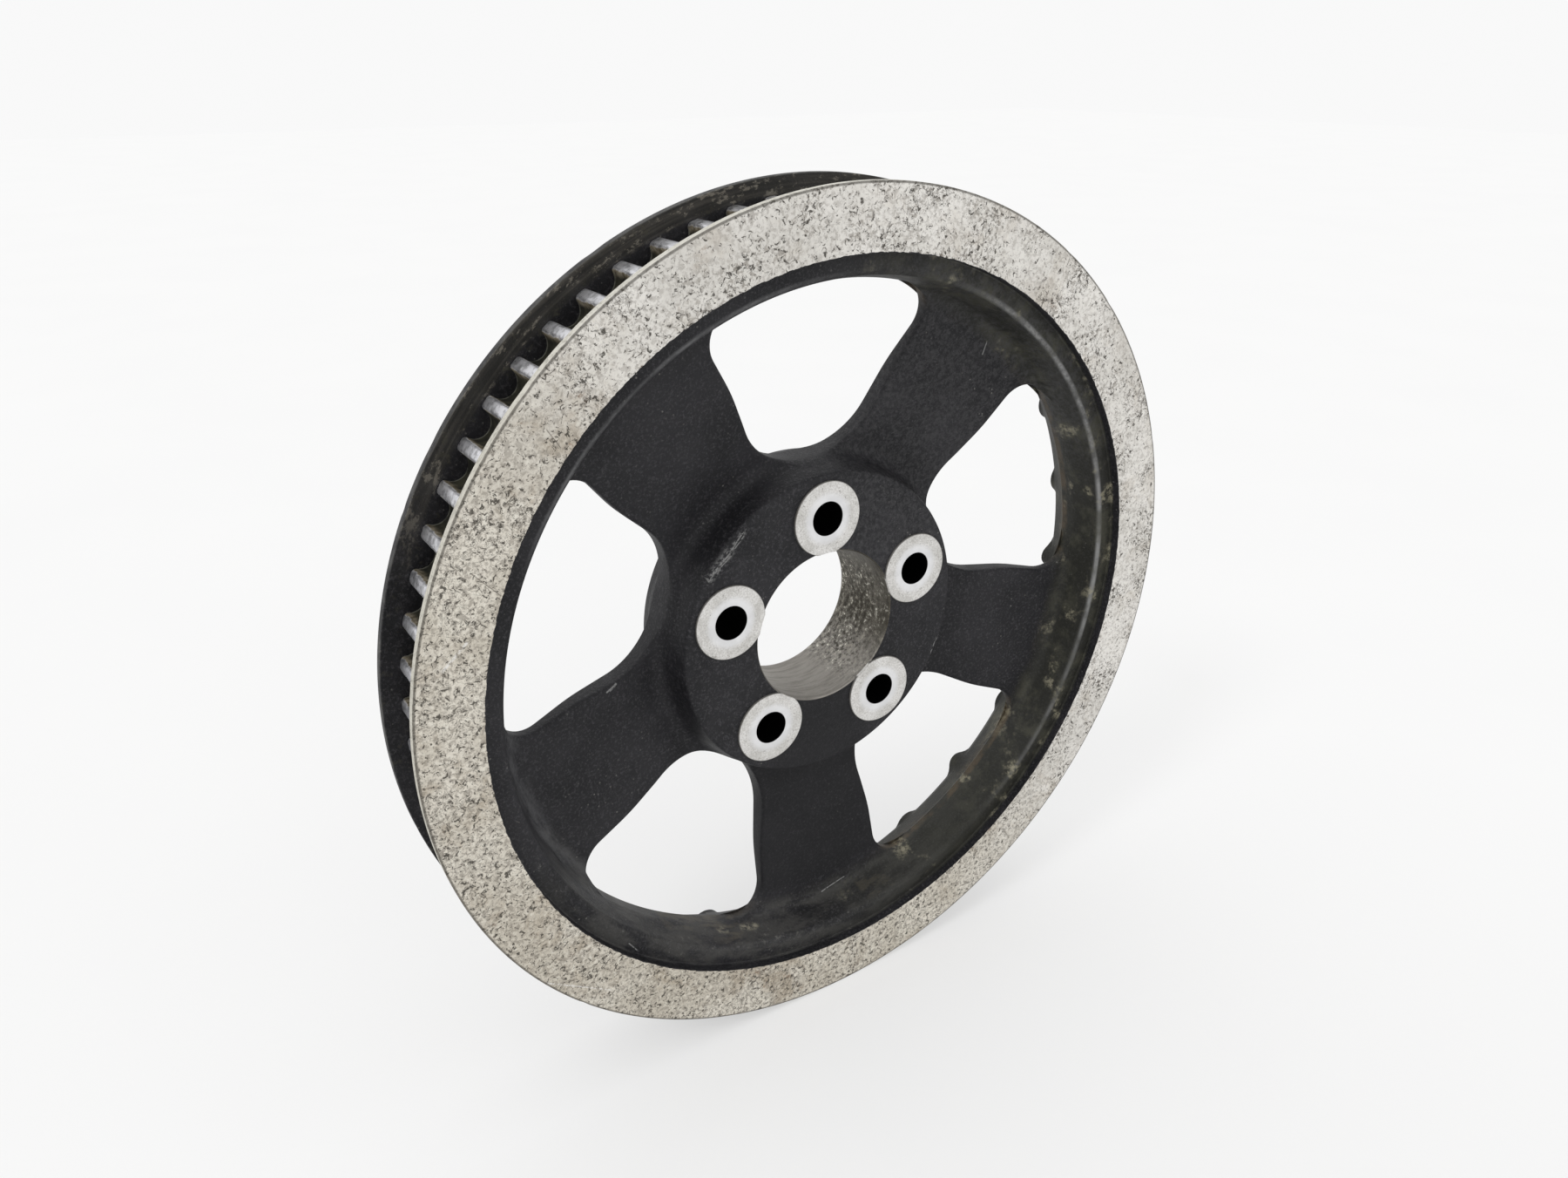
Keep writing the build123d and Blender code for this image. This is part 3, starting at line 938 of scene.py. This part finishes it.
TOOTH_COUNT = 66
TOOTH_PITCH = 14.0
TOOTH_TURN = -0.87
BELT_LINE_HEIGHT = 1.397     # the pitch circle lies this far outside the tooth tips
TIP_RADIUS = TOOTH_COUNT * TOOTH_PITCH / (2 * math.pi) - BELT_LINE_HEIGHT
TIP_ROUND = 1.3
GAP_DEPTH = 6.1
GAP_ROUND = 4.65

# Towards each flange the tooth tips round off over END_ROUND, down by END_FALL. Tips take all of the
# fall and of the wear, and places CREST_HEIGHT below them take none.
END_ROUND = 1.4
END_FALL = 0.9
CREST_HEIGHT = 2.5
TIP_WEAR = 0.05


def tooth_outline():
    """(radius, angle) over one pitch, from a gap's middle to the next gap's."""
    gap_centre = TIP_RADIUS - GAP_DEPTH + GAP_ROUND
    round_centre = TIP_RADIUS - TIP_ROUND
    reach = GAP_ROUND + TIP_ROUND
    cosine = (gap_centre**2 + round_centre**2 - reach**2) / (2 * gap_centre * round_centre)
    corner_angle = math.acos(cosine)
    corner = Vector((round_centre * math.sin(corner_angle), round_centre * math.cos(corner_angle)))
    along = corner - Vector((0.0, gap_centre))
    join_angle = math.atan2(along.y, along.x)
    half = []
    for step in range(11):
        angle = -math.pi / 2 + (join_angle + math.pi / 2) * step / 11
        half.append((GAP_ROUND * math.cos(angle), gap_centre + GAP_ROUND * math.sin(angle)))
    top_angle = math.atan2(corner.y, corner.x)
    for step in range(7):
        angle = join_angle + math.pi - (join_angle + math.pi - top_angle) * step / 6
        half.append((corner.x + TIP_ROUND * math.cos(angle), corner.y + TIP_ROUND * math.sin(angle)))
    polar = [(math.hypot(x, z), math.degrees(math.atan2(x, z))) for x, z in half]
    half_pitch = 180 / TOOTH_COUNT
    polar.append((TIP_RADIUS, (polar[-1][1] + half_pitch) / 2))
    polar.append((TIP_RADIUS, half_pitch))
    mirrored = [(radius, 2 * half_pitch - angle) for radius, angle in polar[-2:0:-1]]
    return polar + mirrored


def make_toothed_ring():
    """Round-gap teeth all the way round, whose tips round off just before each flange."""
    one_tooth = tooth_outline()
    pitch = 360 / TOOTH_COUNT
    start = TOP_HOLE_ANGLE + TOOTH_TURN + pitch / 2
    front = BELT_FRONT
    rear = BELT_REAR
    depths = [front, front + 0.5, front + 1.0, front + 2.0]
    depths += [front + 2.0 + (rear - front - 4.0) * step / 8 for step in range(1, 9)]
    depths += [rear - 1.4, rear - 0.9, rear - 0.5, rear - 0.2, rear]
    rows = []
    for depth in depths:
        near_end = min(depth - front, rear - depth)
        short = max(0.0, 1 - near_end / END_ROUND)
        fall = END_FALL * (1 - math.sqrt(max(0.0, 1 - short**2)))
        row = []
        for tooth in range(TOOTH_COUNT):
            for radius, angle in one_tooth:
                crest = max(0.0, (radius - TIP_RADIUS + CREST_HEIGHT) / CREST_HEIGHT)
                wear = TIP_WEAR * crest * noise.noise(Vector((tooth * 3.1, depth * 0.4, radius)))
                row.append(place_3d(radius - fall * crest + wear, start + tooth * pitch + angle, depth))
        row.append(row[0])
        rows.append(row)
    steps = len(rows[0]) - 1
    around = [start + 360 * step / steps for step in range(steps + 1)]
    seat = [[place_3d(TOOTH_SEAT_RADIUS, angle, depth) for angle in around] for depth in (rear, front)]
    mesh = bmesh.new()
    add_grid(mesh, rows + seat + [rows[0]])
    return joined(mesh)


# ---------------------------------------------------------------- flanges and bolt seats

SEAT_RADIUS = 13.5
SEAT_FACE = 15.7
SEAT_REAR = 18.7
SLEEVE_RADIUS = 9.0
SEAT_TRIM_RADIUS = 28.59     # just clear of the bore's own wall
EDGE_ROUND = 0.35
DING_DEPTH = 0.35


def make_flange(inner, front, seed):
    """Flat ring with small rounds and a few dings on its outer edge."""
    outer = RIM_RADIUS
    rear = front + FLANGE_THICKNESS
    edge = EDGE_ROUND
    chain = [(inner, front, 0), (inner + 0.2, front, 0)]
    chain += [(inner + (outer - inner) * share, front, 0) for share in (0.2, 0.4, 0.6, 0.8, 0.95)]
    for step in range(5):
        angle = math.radians(90 * step / 4)
        chain.append((outer - edge + edge * math.sin(angle), front + edge - edge * math.cos(angle), 1))
    chain += [(outer, front + 1.0, 1), (outer, front + 2.0, 1)]
    for step in range(5):
        angle = math.radians(90 * step / 4)
        chain.append((outer - edge + edge * math.cos(angle), rear - edge + edge * math.sin(angle), 1))
    chain += [(inner + (outer - inner) * share, rear, 0) for share in (0.9, 0.6, 0.3)]
    chain += [(inner, rear, 0), (inner, front + 1.5, 0)]
    count = 720
    rows = []
    for radius, depth, on_edge in chain + chain[:1]:
        row = []
        for step in range(count + 1):
            angle = 360 * (step % count) / count
            ding = 0.0
            if on_edge:
                spot = place_3d(radius, angle, depth) * 110 + Vector((seed, 0, 0))
                ding = DING_DEPTH * max(0.0, noise.noise(spot) - 0.45) / 0.55
            row.append(place_3d(radius - ding, angle, depth))
        rows.append(row)
    mesh = bmesh.new()
    add_grid(mesh, rows)
    return joined(mesh)


def make_bolt_seat(index):
    """Round seat with its bolt hole; its bore side is trimmed flush with the bore."""
    hole = HOLE_RADIUS
    face = SEAT_FACE
    edge = SEAT_RADIUS
    chain = [(hole, HUB_REAR), (hole, 40.0), (hole, 30.0), (hole, face + 0.5), (hole + 0.08, face + 0.22)]
    chain += [(hole + 0.3, face + 0.04), (hole + 0.5, face), (7.5, face)]
    chain += [(8.9, face), (9.15, face + 0.05), (9.4, face)]
    chain += [(10.5, face), (12.0, face), (edge - 0.5, face), (edge - 0.2, face + 0.06)]
    chain += [(edge - 0.05, face + 0.22), (edge, face + 0.5), (edge, SEAT_REAR), (SLEEVE_RADIUS, SEAT_REAR)]
    chain += [(SLEEVE_RADIUS, 32.0), (SLEEVE_RADIUS, HUB_REAR), (hole, HUB_REAR)]
    direction = TOP_HOLE_ANGLE + SPOKE_TURN * index
    turn = math.radians(direction)
    middle = Vector((math.cos(turn), math.sin(turn))) * BOLT_CIRCLE_RADIUS
    count = 120
    rows = []
    for radius, depth in chain:
        row = []
        for step in range(count + 1):
            angle = math.radians(direction + 360 * (step % count) / count)
            ray = Vector((math.cos(angle), math.sin(angle)))
            inward = -middle.dot(ray)
            room = inward * inward - middle.length_squared + SEAT_TRIM_RADIUS**2
            meets_bore = room > 0 and inward > 0
            limit = inward - math.sqrt(room) if meets_bore else 1000.0
            point = middle + ray * min(radius, limit)
            row.append(Vector((point.x * MM, FRONT_Y + depth * MM, point.y * MM)))
        rows.append(row)
    mesh = bmesh.new()
    add_grid(mesh, rows)
    return joined(mesh)


# ---------------------------------------------------------------- assembly

# Edges that turn by more than this many degrees are shaded as sharp
SHARP_ANGLE = 38


def new_object(name, mesh):
    """Object in the scene that holds a finished mesh."""
    data = bpy.data.meshes.new(name)
    mesh.to_mesh(data)
    mesh.free()
    thing = bpy.data.objects.new(name, data)
    bpy.context.scene.collection.objects.link(thing)
    return thing


def dress(thing, node, material):
    """Give a piece smooth shading, its finish and its body, and hide the CAD node that it stands for."""
    thing.data.polygons.foreach_set("use_smooth", [True] * len(thing.data.polygons))
    thing.data.set_sharp_from_angle(angle=math.radians(SHARP_ANGLE))
    thing.data.materials.clear()
    thing.data.materials.append(material)
    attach(thing, "root")
    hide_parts(node)


casting = new_object("spoked_casting", make_casting())
cut_bolt_holes(casting)
dress(casting, "hub_and_spokes", black_paint())
belt_ring = new_object("belt_ring", make_toothed_ring())
dress(belt_ring, "toothed_ring", belt_teeth())
front_ring = new_object("front_ring", make_flange(FLANGE_INNER_RADIUS, 0.0, 3.0))
dress(front_ring, "front_flange", bare_ring())
rear_ring_worn = new_object("rear_ring_worn", make_flange(TOOTH_SEAT_RADIUS, BELT_REAR, 8.0))
dress(rear_ring_worn, "rear_flange", rear_ring())
seat_finish = seat_metal()
for index in range(SPOKES):
    seat = new_object(f"seat_{index + 1}", make_bolt_seat(index))
    dress(seat, f"bolt_seat_{index + 1}", seat_finish)


# ---------------------------------------------------------------- stage, lights and camera


def aim(thing, direction):
    """Turn a camera or light to look along a direction."""
    thing.rotation_euler = Vector(direction).to_track_quat("-Z", "Y").to_euler()


def make_floor():
    """Plain pale floor. Part of its brightness is its own, so that shadows on it stay pale."""
    mesh = bpy.data.meshes.new("floor")
    half = 6.0
    corners = [(-half, -half, FLOOR_Z), (half, -half, FLOOR_Z), (half, half, FLOOR_Z), (-half, half, FLOOR_Z)]
    mesh.from_pydata(corners, [], [(0, 1, 2, 3)])
    floor = bpy.data.objects.new("floor", mesh)
    bpy.context.scene.collection.objects.link(floor)
    m = Shader("floor")
    m.color = m.mix(m.noise(6.0, 4.0), (0.388, 0.388, 0.389), (0.408, 0.408, 0.406))
    m.surface.inputs["Specular IOR Level"].default_value = 0.0
    m.surface.inputs["Emission Color"].default_value = (1.0, 1.0, 0.998, 1.0)
    m.surface.inputs["Emission Strength"].default_value = 0.46
    m.finish(0.9, 0.0, m.bump(m.noise(900.0, 2.0), 0.0001, 0.2))
    mesh.materials.append(m.material)


def make_world():
    """White surroundings, brighter overhead."""
    world = bpy.data.worlds.new("studio")
    bpy.context.scene.world = world
    world.use_nodes = True
    tree = world.node_tree
    direction = tree.nodes.new("ShaderNodeTexCoord")
    split = tree.nodes.new("ShaderNodeSeparateXYZ")
    climb = tree.nodes.new("ShaderNodeMapRange")
    tree.links.new(direction.outputs["Generated"], split.inputs[0])
    tree.links.new(split.outputs[2], climb.inputs["Value"])
    climb.interpolation_type = "SMOOTHSTEP"
    for socket, setting in zip(climb.inputs[1:5], (0.05, 0.9, 0.945, 1.185)):
        socket.default_value = setting
    background = tree.nodes["Background"]
    background.inputs["Color"].default_value = (1.0, 1.0, 1.0, 1.0)
    tree.links.new(climb.outputs[0], background.inputs["Strength"])


def make_sun(name, travel, strength, spread):
    """Soft distant light; travel is the way its light goes."""
    lamp = bpy.data.lights.new(name, "SUN")
    lamp.energy = strength
    lamp.angle = math.radians(spread)
    light = bpy.data.objects.new(name, lamp)
    aim(light, travel)
    bpy.context.scene.collection.objects.link(light)


def make_camera():
    """Camera above and to the left of the front face."""
    lens = bpy.data.cameras.new("camera")
    lens.sensor_width = 36.0
    lens.lens = 26.3
    camera = bpy.data.objects.new("camera", lens)
    camera.location = (-0.2125, -0.3265, 0.1841)
    aim(camera, (0.4980, 0.7575, -0.4222))
    bpy.context.scene.collection.objects.link(camera)
    bpy.context.scene.camera = camera


make_floor()
make_world()
make_sun("key", (0.70, 0.22, -0.68), 0.55, 14)
make_camera()
bpy.context.scene.view_settings.view_transform = "Standard"
